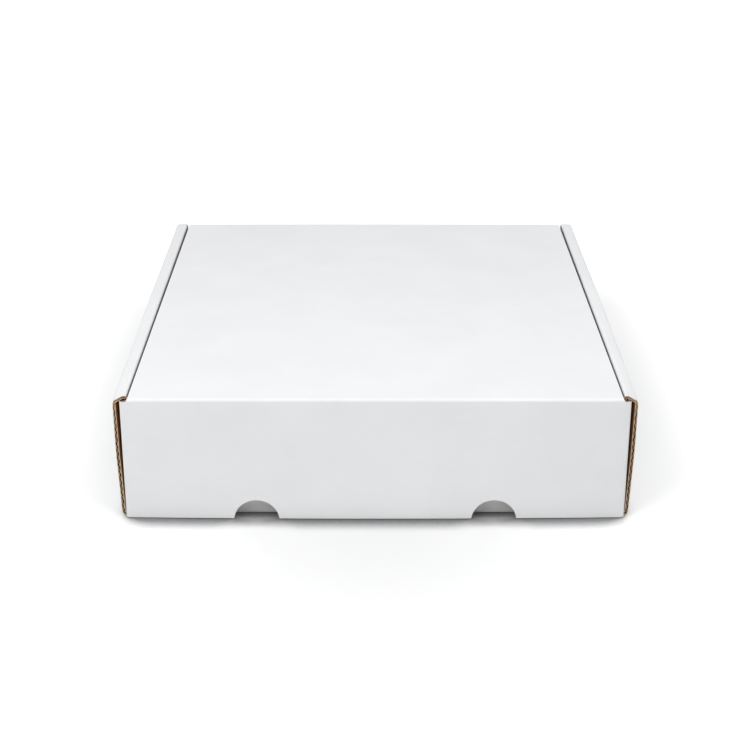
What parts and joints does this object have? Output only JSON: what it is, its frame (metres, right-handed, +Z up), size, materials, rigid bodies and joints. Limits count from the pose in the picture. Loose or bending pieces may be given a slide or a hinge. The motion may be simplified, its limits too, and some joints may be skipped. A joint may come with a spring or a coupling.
{
  "type": "corrugated mailer box",
  "caption": "Shallow white corrugated mailer box with rolled side walls, hinged lid and a front flap with side ears and thumb notches.",
  "frame": {"origin": "centre of the shut box's footprint, on the surface that it stands on", "axes": "-Y is the front, where the flap hangs; +X is to the right seen from the front; +Z is up"},
  "size_m": [0.2162, 0.2378, 0.0553],
  "materials": {
    "tray_board": "fluted board, matt white liner outside, brown kraft liner inside and brown raw edges",
    "lid_board": "fluted board, matt white liner outside, brown kraft liner inside and brown raw edges",
    "flap_board": "fluted board, matt white liner outside, brown kraft liner inside and brown raw edges"
  },
  "bodies": {
    "tray": {"tray": "tray_board"},
    "lid": {"lid": "lid_board"},
    "front_flap": {"front_flap": "flap_board"}
  },
  "joints": [
    {"name": "lid_hinge", "type": "hinge", "parent": "tray", "child": "lid", "pos_m": [0, 0.11842, 0.05482], "axis": [-1, 0, 0], "range_deg": [0, 175]},
    {"name": "flap_hinge", "type": "hinge", "parent": "lid", "child": "front_flap", "pos_m": [0, -0.11842, 0.05482], "axis": [-1, 0, 0], "range_deg": [0, 90]}
  ]
}
